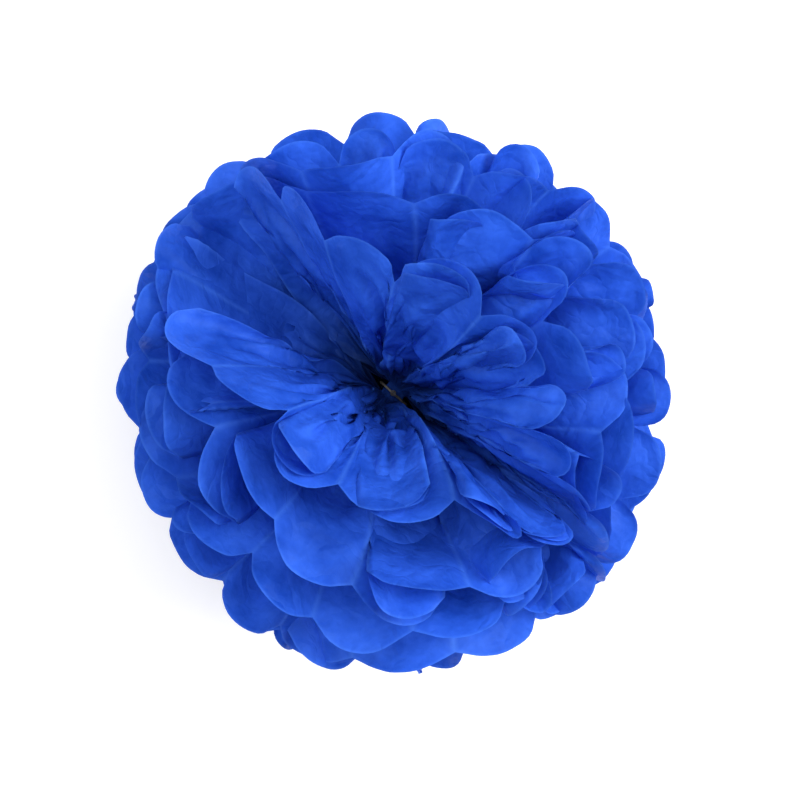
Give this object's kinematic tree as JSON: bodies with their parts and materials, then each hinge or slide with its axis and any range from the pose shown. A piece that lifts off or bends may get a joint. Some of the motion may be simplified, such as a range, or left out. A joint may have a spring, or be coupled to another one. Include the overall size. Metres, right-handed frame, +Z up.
{
  "type": "tissue paper pom pom",
  "caption": "Round tissue paper pom pom: pleated sheets tied in the middle with wire, cut round at the ends and fluffed out into a ball of petals.",
  "frame": {"origin": "on the table, straight below the wire tie in the middle of the ball", "axes": "+Z up, the ball's own axis, through the open crowns of the uppermost and lowest sheet; +X along the folds where they pass through the tie; +Y along the seam where the two fans of every sheet meet"},
  "size_m": [0.2504, 0.254, 0.2282],
  "materials": {
    "tissue": "matt, thin and slightly see-through, royal blue on both faces",
    "tie_wire": "dull florist's wire"
  },
  "bodies": {
    "root": {"tissue_sheet_01": "tissue", "tissue_sheet_02": "tissue", "tissue_sheet_03": "tissue", "tissue_sheet_04": "tissue", "tissue_sheet_05": "tissue", "tissue_sheet_06": "tissue", "tissue_sheet_07": "tissue", "tissue_sheet_08": "tissue", "tissue_sheet_09": "tissue", "tissue_sheet_10": "tissue", "tie_wire": "tie_wire"}
  },
  "joints": []
}
